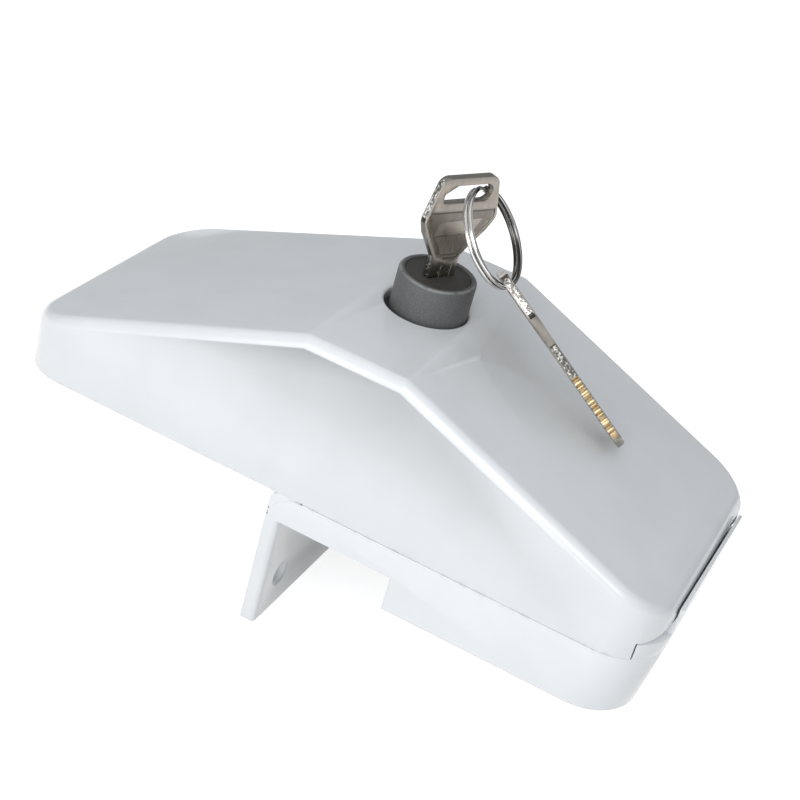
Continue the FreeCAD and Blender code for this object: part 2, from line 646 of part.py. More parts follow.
def guide_rod(name):
    return rod(name, "x", "guide_pin / 2", (f"{lock} + {guide_in}", "0", guide_z), f"{housing_radius} - {guide_in}")


housing_blank = fuse(
    "housing_blank",
    rod("housing_tube", "z", housing_radius, (lock, "0", housing_foot), f"{housing_top} - {housing_foot}"),
    rod("housing_ear", "z", "boss_circle + boss / 2", (lock, "0", ear_foot), "ear_wall"),
)
keep("lock_housing", cut(
    "housing", housing_blank,
    rod("housing_room", "z", housing_bore_radius, (lock, "0", spring_seat), f"{housing_top} - {spring_seat} + 1"),
    rod("housing_hole", "z", "housing_bore / 2", (lock, "0", f"{housing_foot} - 1"), "housing_floor + 2"),
    rod("seal_room", "z", seal_radius, (lock, "0", seal_foot), "seal_height + 1"),
    guide_rod("guide_hole"),
    *housing_screws,
))
for count, thing in enumerate(housing_screws, start=1):
    keep(f"housing_screw_{count}", thing)
keep("guide_pin", guide_rod("guide"))
keep("sleeve_seal", cut(
    "seal",
    rod("seal_ring", "z", seal_radius, (lock, "0", seal_foot), "seal_height"),
    rod("seal_hole", "z", housing_bore_radius, (lock, "0", f"{seal_foot} - 1"), "seal_height + 2"),
))

# The push cylinder.
face_room = "(face / 2 + running_gap)"
sleeve_blank = rounded(
    "sleeve_blank",
    rod("sleeve_bar", "z", "cylinder / 2", (lock, "0", sleeve_foot), "sleeve_length"),
    "rim_round", lambda middle, edge: near(middle.z, rim),
)
slot_half = "(guide_pin / 2 + 0.1)"
keep("lock_sleeve", cut(
    "sleeve", sleeve_blank,
    rod("sleeve_bore", "z", sleeve_bore, (lock, "0", f"{sleeve_foot} - 1"), "sleeve_length + 2"),
    rod("face_room", "z", face_room, (lock, "0", f"{core_top} - running_gap"), "face_wall + face_sink + 1"),
    box("guide_slot", (f"{lock} + {guide_in} - 0.1", f"{lock} + cylinder / 2 + 1"), (f"-{slot_half}", slot_half),
        (f"{guide_z} - {slot_half}", f"{guide_z} + {slot_half} + stroke + 0.2")),
))


def settle(thing):
    """Puts a piece of the plug on the lock's axis, turned the way the key stands."""
    thing.Placement.Rotation = FreeCAD.Rotation(V(0, 0, 1), number("key_heading"))
    return place(thing, lock, "0", "0")


def keyway(name, foot_at, top_at):
    return box(name, ("-blade / 2 - key_gap", "blade / 2 + key_gap"),
               ("-key_wall / 2 - key_gap", "key_wall / 2 + key_gap"), (foot_at, top_at))


keep("plug_face", settle(cut(
    "face_piece",
    rod("face_disc", "z", "face / 2", ("0", "0", core_top), "face_wall"),
    keyway("face_slot", f"{core_top} - 1", f"{rim} + 1"),
)))
blade_foot = f"({rim} - blade_length)"
clip_foot = f"({sleeve_foot} - running_gap - clip_wall)"
stem_top = f"({core_foot} + 8)"
wafer_count = 6
wafer_feet = [f"({rim} - first_wafer - {count} * wafer_pitch)" for count in range(wafer_count)]
cross_pin_z = f"({core_foot} + 4)"


def cross_rod(name):
    """The pin through plug and stem; in the plug's own directions it lies along X."""
    return rod(name, "x", "cross_pin / 2", ("-core / 2 + 0.2", "0", cross_pin_z), "core - 0.4")


def turned_cross_rod(name):
    """The same pin where it stands in the row."""
    bar = cross_rod(name)
    bar.Placement.Rotation = FreeCAD.Rotation(V(0, 0, 1), number("key_heading")).multiply(turns["x"])
    heading = "(key_heading * 1 deg)"
    start = "(-core / 2 + 0.2)"
    return place(bar, f"{lock} + {start} * cos{heading}", f"{start} * sin{heading}", cross_pin_z)


clip_ring = cut(
    "clip_ring",
    rod("clip_disc", "z", "clip / 2", ("0", "0", clip_foot), "clip_wall"),
    rod("clip_hole", "z", "core / 2 - clip_groove", ("0", "0", f"{clip_foot} - 1"), "clip_wall + 2"),
)
core_groove = cut(
    "core_groove",
    rod("groove_disc", "z", "core / 2 + 1", ("0", "0", clip_foot), "clip_wall"),
    rod("groove_left", "z", "core / 2 - clip_groove", ("0", "0", f"{clip_foot} - 1"), "clip_wall + 2"),
)
keep("plug_core", settle(cut(
    "core_piece",
    rod("core_bar", "z", "core / 2", ("0", "0", core_foot), "core_length"),
    keyway("core_slot", f"{blade_foot} - 0.4", f"{core_top} + 1"),
    rod("stem_hole", "z", "stem / 2", ("0", "0", f"{core_foot} - 1"), f"{stem_top} - {core_foot} + 1"),
    core_groove,
    cross_rod("core_pin_hole"),
    *[box(f"wafer_room_{count}", ("-wafer_half_length", "wafer_half_length"),
          ("-wafer_half_width", "wafer_half_width"), (wafer_foot, f"{wafer_foot} + wafer"))
      for count, wafer_foot in enumerate(wafer_feet, start=1)],
)))
for count, wafer_foot in enumerate(wafer_feet, start=1):
    keep(f"wafer_{count}", settle(cut(
        f"wafer_{count}_piece",
        box(f"wafer_{count}_blank", ("-wafer_half_length", "wafer_half_length"),
            ("-wafer_half_width", "wafer_half_width"), (wafer_foot, f"{wafer_foot} + wafer")),
        keyway(f"wafer_{count}_window", f"{wafer_foot} - 1", f"{wafer_foot} + 2"),
    )))
keep("plug_clip", settle(cut(
    "clip_piece", clip_ring,
    box("clip_gap", ("0", "clip"), ("-clip / 6", "clip / 6"), (f"{clip_foot} - 1", f"{clip_foot} + clip_wall + 1")),
)))
stem_hole_turned = turned_cross_rod("stem_pin_hole")
cam_head = common(
    "cam_head",
    box("cam_bar", (f"{lock} - cam_width / 2", f"{lock} + cam_width / 2"), ("-cam_length / 2", "cam_length / 2"),
        (cam_foot, cam_top)),
    rod("cam_round", "z", "cam_length / 2", (lock, "0", cam_foot), "cam_wall"),
)
cam_stem = rod("cam_stem", "z", "stem / 2", (lock, "0", f"{cam_foot} + cam_wall / 2"), f"{stem_top} - {cam_foot} - cam_wall / 2")
keep("locking_cam", cut("cam", fuse("cam_blank", cam_head, cam_stem), stem_hole_turned))
keep("cam_pin", turned_cross_rod("cam_pin_bar"))


def biarc(start, start_way, end, end_way):
    """Two arcs that join smoothly between two points with given directions."""
    gap = end - start
    both = start_way + end_way
    a = both.dot(both) - 4
    b = -2 * gap.dot(both)
    c = gap.dot(gap)
    reach = (-b - math.sqrt(b * b - 4 * a * c)) / (2 * a)
    first, second = start + start_way * reach, end - end_way * reach
    joint = (first + second) / 2
    return [arc(start, first, joint), arc(joint, second, end)]


def arc(start, corner, end):
    """The arc that touches both legs of a corner."""
    chord_middle = (start + end) / 2
    half_chord = (end - start).Length / 2
    out = corner - chord_middle
    leg = (corner - start).Length
    sag = half_chord * math.tan(math.acos(min(1.0, half_chord / leg)) / 2)
    return Part.Arc(start, chord_middle + out / out.Length * sag, end).toShape()


def tube(points, ways, wire_diameter):
    """A round wire swept along smooth arcs, and the points' least gap between turns."""
    edges = []
    for at in range(len(points) - 1):
        edges += biarc(points[at], ways[at], points[at + 1], ways[at + 1])
    path = Part.Wire(edges)
    section = Part.Wire([Part.makeCircle(wire_diameter / 2, points[0], ways[0])])
    solid = path.makePipeShell([section], True, False)
    spots = path.discretize(Number=400)
    step = path.Length / 399
    least = min(
        (spots[one] - spots[two]).Length
        for one in range(0, 400, 2) for two in range(one + 1, 400)
        if (two - one) * step > 5 * wire_diameter
    )
    return solid, least - wire_diameter


def spring_path():
    """Quarter turns of a plain coil on the lock's axis."""
    radius = number("coil / 2")
    low = number(f"{spring_seat} + wire / 2")
    rise = number(f"{sleeve_foot} - spring_gap - wire / 2") - low
    quarters = round(number("coil_turns * 4"))
    climb = rise / quarters
    points, ways = [], []
    for at in range(quarters + 1):
        turn = at * math.pi / 2
        points.append(V(-number("lock_x") + radius * math.cos(turn), radius * math.sin(turn), low + climb * at))
        ways.append(V(-math.sin(turn) * radius * math.pi / 2, math.cos(turn) * radius * math.pi / 2, climb).normalize())
    return points, ways


def ring_path():
    """A split ring: nearly two flat turns, side by side, with one step between them."""
    radius, pitch = number("ring_radius"), number("ring_pitch")
    heading, lean = math.radians(number("ring_heading")), math.radians(number("ring_lean"))
    facing = V(math.sin(lean) * math.cos(heading), math.sin(lean) * math.sin(heading), math.cos(lean))
    level = V(-math.sin(heading), math.cos(heading), 0)
    up = facing.cross(level)
    centre = V(number("ring_x - lock_x"), number("ring_y"), number(f"{rim} + ring_z"))
    points, ways = [], []
    for at in range(8):
        turn = math.radians(number("ring_step")) + (0.125 + at / 4) * 2 * math.pi
        side = -pitch / 2 if at < 4 else pitch / 2
        out = level * math.cos(turn) + up * math.sin(turn)
        points.append(centre + out * radius + facing * side)
        ways.append(facing.cross(out))
    return points, ways


def wound(name, path, wire_diameter):
    shape, least = tube(*path, wire_diameter)
    print(name, "least gap to itself", round(least, 3))
    thing = doc.addObject("Part::Feature", name)
    thing.Shape = shape
    return thing


keep("return_spring", wound("spring", spring_path(), number("wire")))
keep("key_ring", wound("ring", ring_path(), number("ring_wire")))


def key_piece(name):
    """A key standing on its own origin: blade down, width along X, thickness along Y."""
    def bow(half, share, side):
        return f"{side}({half}) + bow_shift * {share}"

    def both(rows):
        right = [(bow(half, share, ""), z) for half, z, share in rows]
        return right + [(bow(half, share, "-"), z) for half, z, share in reversed(rows)]

    blank = rounded(
        name + "_blank",
        prism(name + "_flat", "XZ", both([
            ("blade / 2 - blade_tip", "-blade_length", 0),
            ("blade / 2", "-blade_length + blade_tip", 0),
            ("blade / 2", "shoulder_rise", 0),
            ("neck_half", "neck_rise", 0.15),
            ("cheek_half", "cheek_rise", 0.6),
            ("bow_half", "bow_rise", 1),
            ("bow_top_half", "bow_top", 1),
        ]), "-key_wall / 2", "key_wall"), "bow_round",
        lambda middle, edge: near(middle.y, "0") and middle.z > number("bow_rise") - 0.1,
    )
    window_top = "(window_low + window_rise)"
    window = rounded(
        name + "_window",
        rounded(
            name + "_window_ring",
            prism(name + "_window_block", "XZ", [
                ("-window_left", "window_low"),
                ("window_right", "window_low"),
                ("window_right", window_top),
                ("-window_bend", window_top),
                ("-window_left", "window_low + window_slant"),
            ], "-key_wall", "2 * key_wall"),
            "window_round", lambda middle, edge: near(middle.y, "0") and near(middle.x, "window_right"),
        ),
        "window_tip", lambda middle, edge: near(middle.y, "0") and near(middle.x, "-window_left"),
    )
    tools = [window]
    panel = both([
        ("panel_low_half", "panel_low", 0.3),
        ("bow_half - 1.3 * panel_edge", "bow_rise", 1),
        ("bow_half - 2 * panel_edge", "panel_top", 1),
    ])
    for face_name, start in (("front", "-key_wall / 2"), ("back", "key_wall / 2 - panel_sink")):
        tools.append(rounded(
            f"{name}_panel_{face_name}",
            prism(f"{name}_panel_block_{face_name}", "XZ", panel, start, "panel_sink"),
            "panel_round", lambda middle, edge: near(middle.z, "panel_low") and near(edge.BoundBox.XLength, "0"),
        ))
    grooves = (
        ("front", "-groove_side", "-key_wall / 2"), ("front", "groove_side", "-key_wall / 2"),
        ("back", "0", "key_wall / 2 - groove_sink"),
    )
    for count, (face_name, x, y) in enumerate(grooves, start=1):
        tools.append(prism(f"{name}_groove_{face_name}_{count}", "XZ", [
            (f"{x} - groove_width / 2", "-blade_length - 1"),
            (f"{x} + groove_width / 2", "-blade_length - 1"),
            (f"{x} + groove_width / 2", "groove_point"),
            (f"{x} - groove_width / 2", "groove_point - 2 * groove_width"),
        ], y, "groove_sink"))
    for count in range(6):
        for side, sign in (("left", "-"), ("right", "")):
            z = f"-first_wafer + 0.5 - {count} * cut_pitch"
            tools.append(rod(
                f"{name}_cut_{side}_{count + 1}", "y", "cut_radius",
                (f"{sign}(blade / 2 + cut_radius - cut_depth * {cut_steps[side][count]})", "-key_wall", z), "2 * key_wall"))
    return cut(name + "_piece", blank, *tools)


cut_steps = {"left": (1, 0.4, 0.7, 1, 0.3, 0.8), "right": (0.5, 1, 0.6, 0.3, 0.9, 0.4)}
key = key_piece("key_one")
key.Placement.Rotation = FreeCAD.Rotation(V(0, 0, 1), number("key_heading"))
keep("key", place(key, lock, "0", rim))
spare = key_piece("key_two")
spare.Placement.Rotation = FreeCAD.Rotation(number("spare_yaw"), number("spare_pitch"), number("spare_roll"))
keep("spare_key", place(spare, f"{lock} + spare_x", "spare_y", "spare_z"))

doc.recompute()

faulty = [thing.Label for thing in doc.Objects if "Invalid" in thing.State or "Error" in thing.State]
for label, thing in parts.items():
    if thing.Shape.isNull() or not thing.Shape.isValid() or len(thing.Shape.Solids) != 1:
        faulty.append(label)
if faulty:
    raise RuntimeError("these pieces are not sound: " + ", ".join(faulty))

os.makedirs("parts", exist_ok=True)
for label, thing in parts.items():
    thing.Shape.exportStep(f"parts/{label}.step")
    extent = thing.Shape.BoundBox
    print(label, round(thing.Shape.Volume, 1), [round(side, 1) for side in (extent.XLength, extent.YLength, extent.ZLength)])
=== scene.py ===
import math

import bmesh
import bpy
from mathutils import Matrix, Vector


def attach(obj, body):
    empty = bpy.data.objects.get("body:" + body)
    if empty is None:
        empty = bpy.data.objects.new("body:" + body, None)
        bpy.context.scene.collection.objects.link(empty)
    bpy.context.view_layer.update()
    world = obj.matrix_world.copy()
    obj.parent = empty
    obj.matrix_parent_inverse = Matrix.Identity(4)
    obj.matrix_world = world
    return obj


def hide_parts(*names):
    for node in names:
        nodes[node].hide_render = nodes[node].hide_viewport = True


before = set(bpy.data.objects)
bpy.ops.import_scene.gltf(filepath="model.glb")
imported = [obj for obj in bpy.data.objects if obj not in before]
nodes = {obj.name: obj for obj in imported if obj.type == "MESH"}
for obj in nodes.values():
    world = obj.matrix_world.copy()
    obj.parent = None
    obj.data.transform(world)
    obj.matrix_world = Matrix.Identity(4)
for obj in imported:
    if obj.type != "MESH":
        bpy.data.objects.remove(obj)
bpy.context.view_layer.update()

mm = 0.001

# Places that several pieces share, in mm.
lockX = -58.3
rimZ = 75.7
ringCentre = (-48.29, 5.21, 88.94)


class Wire:  # one value in a node tree: maths on it adds Math nodes
    def __init__(self, sheet, socket):
        self.sheet, self.socket = sheet, socket

    def maths(self, operation, *values):
        return self.sheet.add("ShaderNodeMath", {"operation": operation}, *values)

    def __add__(self, other):
        return self.maths("ADD", self, other)

    def __sub__(self, other):
        return self.maths("SUBTRACT", self, other)

    def __rsub__(self, other):
        return self.maths("SUBTRACT", other, self)

    def __mul__(self, other):
        return self.maths("MULTIPLY", self, other)

    def __truediv__(self, other):
        return self.maths("DIVIDE", self, other)

    def __abs__(self):
        return self.maths("ABSOLUTE", self)

    def power(self, other):
        return self.maths("POWER", self, other)


class Sheet:  # a node tree and the ways to add to it
    def add(self, kind, settings, *values, out=0, **named):
        node = self.tree.nodes.new(kind)
        for key, value in settings.items():
            setattr(node, key, value)
        sockets = list(zip(node.inputs, values))
        sockets += [(self.find(node, key), value) for key, value in named.items()]
        for socket, value in sockets:
            for each in value if isinstance(value, list) else [value]:
                if isinstance(each, Wire):
                    self.tree.links.new(each.socket, socket)
                elif each is not None:
                    socket.default_value = each
        return Wire(self, node.outputs[out])

    def find(self, node, name):
        wanted = name.replace("_", " ")
        enabled = [s for s in node.inputs if s.name == wanted and s.enabled]
        return enabled[0] if enabled else node.inputs[wanted]

    def span(self, value, low, high, bottom=0.0, top=1.0):  # low..high becomes bottom..top, eased
        eased = {"interpolation_type": "SMOOTHSTEP"}
        return self.add("ShaderNodeMapRange", eased, value, low, high, bottom, top)


class Finish(Sheet):  # a material and its node tree
    def __init__(self, name, **shaderValues):
        self.material = bpy.data.materials.new(name)
        self.material.use_nodes = True
        self.tree = self.material.node_tree
        self.shader = self.tree.nodes["Principled BSDF"]
        for key, value in shaderValues.items():
            self.shader.inputs[key.replace("_", " ")].default_value = value

    def spot(self):  # where on the object, in metres
        return self.add("ShaderNodeTexCoord", {}, out=3)

    def noise(self, scale, detail=3.0, roughness=0.5, at=None):
        return self.add("ShaderNodeTexNoise", {}, Vector=at or self.spot(), Scale=scale, Detail=detail,
                        Roughness=roughness)

    def cells(self, scale):
        return self.add("ShaderNodeTexVoronoi", {}, Vector=self.spot(), Scale=scale)

    def mix(self, mask, first, second):
        return self.add("ShaderNodeMix", {"data_type": "RGBA"}, out=2, Factor=mask, A=first, B=second)

    def parts(self, at=None):  # x, y, z of a place
        split = self.add("ShaderNodeSeparateXYZ", {}, at or self.spot())
        return [Wire(self, socket) for socket in split.socket.node.outputs]

    def gap(self, point, at=None):  # distance from a point given in millimetres
        return self.add("ShaderNodeVectorMath", {"operation": "DISTANCE"}, at or self.spot(),
                        tuple(c * mm for c in point), out=1)

    def set(self, name, wire):
        self.tree.links.new(wire.socket, self.shader.inputs[name])

    def bump(self, *layers):  # each layer: height, strength, depth in millimetres
        below = None
        for height, strength, depth in layers:
            below = self.add("ShaderNodeBump", {}, Strength=strength, Distance=depth * mm, Height=height,
                             Normal=below)
        self.set("Normal", below)


def colour(red, green, blue):
    return (red, green, blue, 1.0)


# White powder coat: cover, base and hinge leaf.

whiteCoat = {
    "paint": colour(0.82, 0.845, 0.868),
    "shade": colour(0.79, 0.815, 0.838),
    "peelSize": 1.4,      # mm, the coat's orange peel
    "peelDepth": 0.006,
    "waveSize": 14.0,     # mm, slow unevenness of the casting under it
    "waveDepth": 0.02,
    "roughness": 0.32,
    "chip": colour(0.33, 0.32, 0.31),
    # x, y, z and radius of each chip, in mm
    "chips": [(-72.4, -41.6, 13.5, 0.45), (-72.5, -41.6, 11.9, 0.65), (-63.4, -41.75, 19.1, 0.35)],
    "dirt": colour(0.52, 0.50, 0.47),
    "speckDirt": 0.55,    # share of dirt in the specks
    "seamDirt": 0.35,     # and along the parting line
    "seamZ": 19.1,        # mm
    "seamFrom": (40.8, 41.2),          # mm off the middle, where the seam's dirt begins
    "notchPaintedShade": colour(0.13, 0.14, 0.16),  # painted shade deep in the door-gap notch: the coat is darkened where the notch lies in shadow
    "notchShadeStrength": 0.8,
    "notchShadeBox": (-68.6, -34.3, 10.9),  # mm: from x, to x, below z
    "notchSoft": 0.2,                  # mm, half the width of the box's soft sides
    "notchShadeFade": (-50, -4),            # mm along y, from no painted shade to full painted shade
}


def makeWhiteCoat(name, settings):
    coat = Finish(name, Roughness=settings["roughness"], Coat_Weight=0.8, Coat_Roughness=0.06, IOR=1.5)
    patches = coat.span(coat.noise(55, 2), 0.35, 0.7)
    paint = coat.mix(patches, settings["paint"], settings["shade"])
    specks = coat.span(coat.cells(330), 0.035, 0.02) * coat.span(coat.noise(95, 1), 0.6, 0.68)
    paint = coat.mix(specks * settings["speckDirt"], paint, settings["dirt"])
    x, y, z = coat.parts()
    seam = coat.span(abs(z - settings["seamZ"] * mm), 1.2 * mm, 0.1 * mm)
    seam = seam * coat.span(coat.noise(420, 3), 0.45, 0.7)
    near, far = settings["seamFrom"]
    seam = seam * coat.span(abs(y), near * mm, far * mm)
    paint = coat.mix(seam * settings["seamDirt"], paint, settings["dirt"])
    # Painted shade: inside the door-gap notch the coat is darkened, more so further back along y.
    left, right, above = settings["notchShadeBox"]
    unshaded, fullyShaded = settings["notchShadeFade"]
    soft = settings["notchSoft"]
    notchShade = coat.span(x, (left - soft) * mm, (left + soft) * mm)
    notchShade = notchShade * coat.span(x, (right + soft) * mm, (right - soft) * mm)
    notchShade = notchShade * coat.span(z, (above + soft) * mm, (above - soft) * mm)
    notchShade = notchShade * coat.span(y, unshaded * mm, fullyShaded * mm)
    paint = coat.mix(notchShade * settings["notchShadeStrength"], paint, settings["notchPaintedShade"])
    chipped = None
    for *point, size in settings["chips"]:
        ragged = coat.gap(point) + coat.noise(1900, 2) * (0.5 * size * mm)
        spot = coat.span(ragged, size * mm * 1.25, size * mm * 1.1)
        chipped = spot if chipped is None else chipped.maths("MAXIMUM", chipped, spot)
    coat.set("Base Color", coat.mix(chipped, paint, settings["chip"]))
    dust = coat.span(coat.noise(130, 4), 0.4, 0.75)
    coat.set("Roughness", dust * 0.07 + settings["roughness"] + chipped * 0.3)
    coat.bump(
        (coat.noise(1000 / settings["waveSize"], 1), 0.6, settings["waveDepth"]),
        (coat.noise(1000 / settings["peelSize"], 2), 0.6, settings["peelDepth"]),
        (1 - chipped, 0.5, 0.08),
    )
    return coat.material


# Grey cast zinc: push cylinder, its turning face and the housing.

castZinc = {
    "dark": colour(0.125, 0.127, 0.128),
    "light": colour(0.185, 0.188, 0.19),
    # Rim colour: worn bare metal and a painted highlight along the rim's rounded top edge.
    "rimWearAndHighlight": colour(0.32, 0.32, 0.315),
    "faceDark": colour(0.06, 0.058, 0.053),
    "faceLight": colour(0.095, 0.092, 0.085),
    "grain": 0.38,        # mm
    "rimRadius": 10.65,
    "roughness": 0.58,
}


def makeCastZinc(name, settings, dark="dark", light="light", rimWearAndHighlightAmount=0.0):
    zinc = Finish(name, Roughness=0.5, Metallic=0.55, IOR=1.45)
    grain = zinc.noise(1000 / settings["grain"], 4, 0.6)
    base = zinc.mix(zinc.span(grain, 0.3, 0.7), settings[dark], settings[light])
    pits = zinc.span(zinc.cells(1500), 0.22, 0.1) * zinc.span(zinc.noise(500, 2), 0.45, 0.6)
    base = zinc.mix(pits * 0.4, base, settings[light])
    x, y, z = zinc.parts()
    x = x - lockX * mm
    radius = (x * x + y * y).power(0.5)
    rimRadius = settings["rimRadius"]
    # The rim's top edge is painted lighter: partly wear, partly a painted highlight of the rounded edge.
    top = zinc.span(z, (rimZ - 0.6) * mm, (rimZ - 0.2) * mm)
    edge = zinc.span(radius, (rimRadius - 1.0) * mm, (rimRadius - 0.6) * mm)
    rimWearAndHighlight = top * edge * zinc.span(zinc.noise(300, 3), 0.25, 0.6) * rimWearAndHighlightAmount
    zinc.set("Base Color", zinc.mix(rimWearAndHighlight, base, settings["rimWearAndHighlight"]))
    zinc.set("Roughness", settings["roughness"] - rimWearAndHighlight * 0.2 + zinc.span(grain, 0.2, 0.8) * 0.08)
    zinc.bump((grain, 0.45, 0.05), (zinc.noise(700, 2), 0.35, 0.06))
    return zinc.material


# Plain metals and rubber.

def makeMetal(name, tint, shade, roughness, brushed=(1, 1, 1), scale=600.0, depth=0.01):
    metal = Finish(name, Roughness=roughness, Metallic=1.0)
    along = metal.add("ShaderNodeMapping", {}, metal.spot(), Scale=brushed)
    streaks = metal.noise(scale, 3, 0.6, at=along)
    metal.set("Base Color", metal.mix(metal.span(streaks, 0.3, 0.7), tint, shade))
    metal.set("Roughness", metal.span(metal.noise(240, 3), 0.3, 0.75, roughness - 0.06, roughness + 0.1))
    metal.bump((streaks, 0.35, depth))
    return metal.material


keyPlate = {
    "nickel": colour(0.41, 0.37, 0.325),
    "tarnish": colour(0.35, 0.325, 0.29),
    "bright": colour(0.95, 0.94, 0.91),
    "edge": colour(0.20, 0.19, 0.17),
    "panel": colour(0.31, 0.29, 0.26),
    # Near black on the edge's steps: painted shade in the notches.
    "step": colour(0.05, 0.045, 0.04),
    "brass": colour(0.56, 0.42, 0.235),
    "cutsFrom": -3.9,     # mm up the key from its shoulder, where the cuts start and end
    "cutsTo": -23.3,
    "cast": [(17.2, 29.0), (-4.2, 6.0)],  # from and to on the edge, rough from the tool
    "shadedSteps": [(15.9, 17.2), (6.0, 6.4)],
    "roughness": 0.34,
    "edgeHalf": 0.8,      # mm, half the thickness that counts as the edge
    "shoulder": 5.0,
    "flankMiddle": 1.5,   # mm across the key, the middle between the bow's flanks
    "flankFrom": (8.3, 8.8),
}


def makeKeyPlate(name, settings, origin, euler):
    # origin in mm and the turn bring the key back upright: x across, y through, z up the key
    plate = Finish(name, Metallic=1.0, Roughness=settings["roughness"])
    back = euler.to_matrix().to_4x4().inverted()
    offset = back @ (-Vector(origin) * mm)
    upright = tuple(back.to_euler("XYZ"))
    at = plate.add("ShaderNodeMapping", {}, plate.spot(), Location=tuple(offset), Rotation=upright)
    across, through, up = plate.parts(at)
    streaks = plate.noise(900, 3, 0.6, at=plate.add("ShaderNodeMapping", {}, at, Scale=(1, 1, 0.12)))
    metal = plate.mix(plate.span(streaks, 0.3, 0.75), settings["nickel"], settings["tarnish"])

    def between(low, high):
        above = plate.span(up, (low - 0.1) * mm, (low + 0.1) * mm)
        return above * plate.span(up, (high + 0.1) * mm, (high - 0.1) * mm)

    side = plate.span(abs(through), (settings["edgeHalf"] + 0.03) * mm, (settings["edgeHalf"] - 0.05) * mm)
    bare = between(settings["cutsTo"], settings["cutsFrom"]) * side
    torn = plate.noise(1500, 2, 0.7, at=at)
    near, far = settings["flankFrom"]
    flank = plate.span(abs(across - settings["flankMiddle"] * mm), near * mm, far * mm)
    rough = side * (between(*settings["cast"][0]) * flank + between(*settings["cast"][1]))
    # Painted shade: near-black bands on the edge at its steps and notches.
    stepShadeMask = side * (between(*settings["shadedSteps"][0]) + between(*settings["shadedSteps"][1]))
    sunk = plate.span(abs(through), 0.95 * mm, 0.9 * mm) * plate.span(up, settings["shoulder"] * mm, 6.0 * mm)
    metal = plate.mix(sunk * 0.8, metal, settings["panel"])
    tornMetal = plate.mix(plate.span(torn, 0.46, 0.6), settings["edge"], settings["bright"])
    metal = plate.mix(rough, metal, tornMetal)
    metal = plate.mix(stepShadeMask, metal, settings["step"])
    plate.set("Base Color", plate.mix(bare, metal, settings["brass"]))
    plate.set("Roughness", plate.span(plate.noise(300, 3, at=at), 0.3, 0.75, 0.26, 0.4) + rough * 0.1)
    plate.bump((streaks, 0.3, 0.01), (plate.noise(160, 2, at=at), 0.3, 0.03), (torn * rough, 0.8, 0.12))
    return plate.material


# Ring wire: its near-black and bright bands are painted reflections of the studio.
reflectionPaintedWire = {
    "bright": colour(0.8, 0.79, 0.77),
    "paintedDarkReflection": colour(0.055, 0.05, 0.045),
    "lines": 1.6,         # painted reflection bands per millimetre of the ring's radius
    "along": 55,          # painted reflection bands per metre along the wire
    "contrast": (0.45, 0.58),
}


def makeReflectionPaintedWire(name, settings):
    wire = Finish(name, Roughness=0.12, Metallic=1.0)
    x, y, z = wire.parts()
    across = wire.gap(ringCentre) * (settings["lines"] * 1000)
    along = settings["along"]
    at = wire.add("ShaderNodeCombineXYZ", {}, across, y * along, (x + z) * along)
    lines = wire.noise(1.0, 2, 0.6, at=at)
    # Painted reflection: dark and bright bands in the base colour.
    paintedReflectionMask = wire.span(lines, *settings["contrast"])
    wire.set("Base Color", wire.mix(paintedReflectionMask, settings["paintedDarkReflection"], settings["bright"]))
    wire.set("Roughness", wire.span(lines, 0.3, 0.7, 0.2, 0.08))
    wire.bump((lines, 0.2, 0.02))
    return wire.material


def makeRubber(name):
    rubber = Finish(name, Roughness=0.6)
    grain = rubber.noise(1500, 2)
    rubber.set("Base Color", rubber.mix(grain, colour(0.03, 0.03, 0.03), colour(0.05, 0.05, 0.05)))
    rubber.bump((grain, 0.3, 0.02))
    return rubber.material


print("finishes")
white = makeWhiteCoat("whitePowderCoat", whiteCoat)
zincRim = makeCastZinc("castZincWornRimHighlight", castZinc, rimWearAndHighlightAmount=1.0)
zincFace = makeCastZinc("castZincFace", castZinc, "faceDark", "faceLight")
zincPlain = makeCastZinc("castZinc", castZinc)
plainSteel = makeMetal("zincPlatedSteel", colour(0.62, 0.62, 0.6), colour(0.5, 0.5, 0.49), 0.32)
springSteel = makeMetal("springSteel", colour(0.42, 0.41, 0.4), colour(0.3, 0.3, 0.29), 0.35)
machinedBrass = makeMetal("machinedBrass", colour(0.74, 0.58, 0.3), colour(0.62, 0.47, 0.22), 0.3, (1, 1, 4))
ringSteel = makeReflectionPaintedWire("reflectionPaintedWireFinish", reflectionPaintedWire)
blackRubber = makeRubber("sealRubber")

keyTurn = {"origin": (lockX, 0.0, rimZ), "heading": 61.0}
spareTurn = {"origin": (-19.11, 1.59, 65.85), "yaw": 111.91, "pitch": 21.68, "roll": -49.68}


def turnOf(settings):
    if "heading" in settings:
        return Matrix.Rotation(math.radians(settings["heading"]), 3, "Z")
    yaw, pitch, roll = (math.radians(settings[k]) for k in ("yaw", "pitch", "roll"))
    return Matrix.Rotation(yaw, 3, "Z") @ Matrix.Rotation(pitch, 3, "Y") @ Matrix.Rotation(roll, 3, "X")


keyMetal = makeKeyPlate("keyNickel", keyPlate, keyTurn["origin"], turnOf(keyTurn).to_euler())
spareMetal = makeKeyPlate("spareKeyNickel", keyPlate, spareTurn["origin"], turnOf(spareTurn).to_euler())

finishOf = {
    "cover_shell": white, "base_body": white, "hinge_leaf": white,
    "lock_sleeve": zincRim, "plug_face": zincFace, "lock_housing": zincPlain,
    "sleeve_seal": blackRubber, "plug_core": machinedBrass, "return_spring": springSteel,
    "key_ring": ringSteel, "key": keyMetal, "spare_key": spareMetal,
}
for name, node in nodes.items():
    if name.startswith("wafer"):
        finishOf[name] = machinedBrass
    finish = finishOf.get(name, plainSteel)
    node.data.materials.clear()
    node.data.materials.append(finish)
print("finished nodes", len(nodes))


